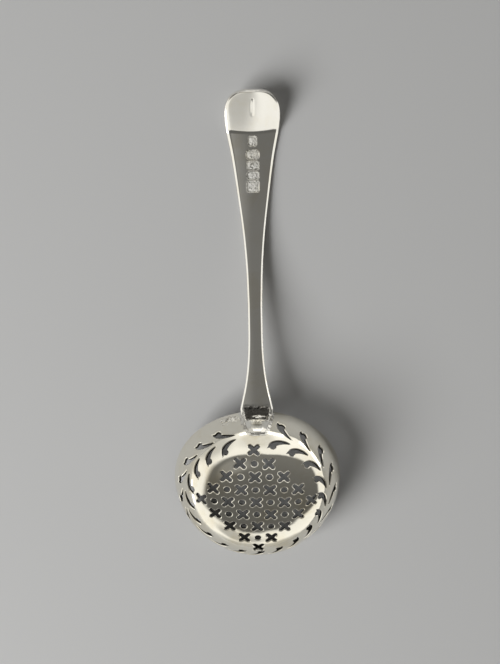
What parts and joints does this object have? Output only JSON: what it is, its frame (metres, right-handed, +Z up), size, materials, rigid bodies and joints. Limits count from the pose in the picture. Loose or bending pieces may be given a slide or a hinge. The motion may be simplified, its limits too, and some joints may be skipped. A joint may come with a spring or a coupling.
{
  "type": "sugar sifter spoon",
  "caption": "Sugar sifter spoon: a deep round bowl pierced with crosses, dots and a leaf wreath, on a tapered stem with a rounded end, a drop and blank punched cartouches.",
  "frame": {"origin": "middle of the footprint, on the surface that the spoon lies on face down", "axes": "+X right, seen from above with the tip away; +Y along the spoon from the bowl to the stem's tip; +Z up, out of the bowl's back"},
  "size_m": [0.052, 0.143, 0.0245],
  "materials": {
    "bowl_silver": "polished sterling silver, worn bright, with faint warm tarnish",
    "stem_silver": "polished sterling silver with fine scratches along it",
    "silver_solder": "dull grey-yellow silver solder, rough"
  },
  "bodies": {
    "root": {"pierced_bowl": "bowl_silver", "stem": "stem_silver", "solder_seam": "silver_solder"}
  },
  "joints": []
}
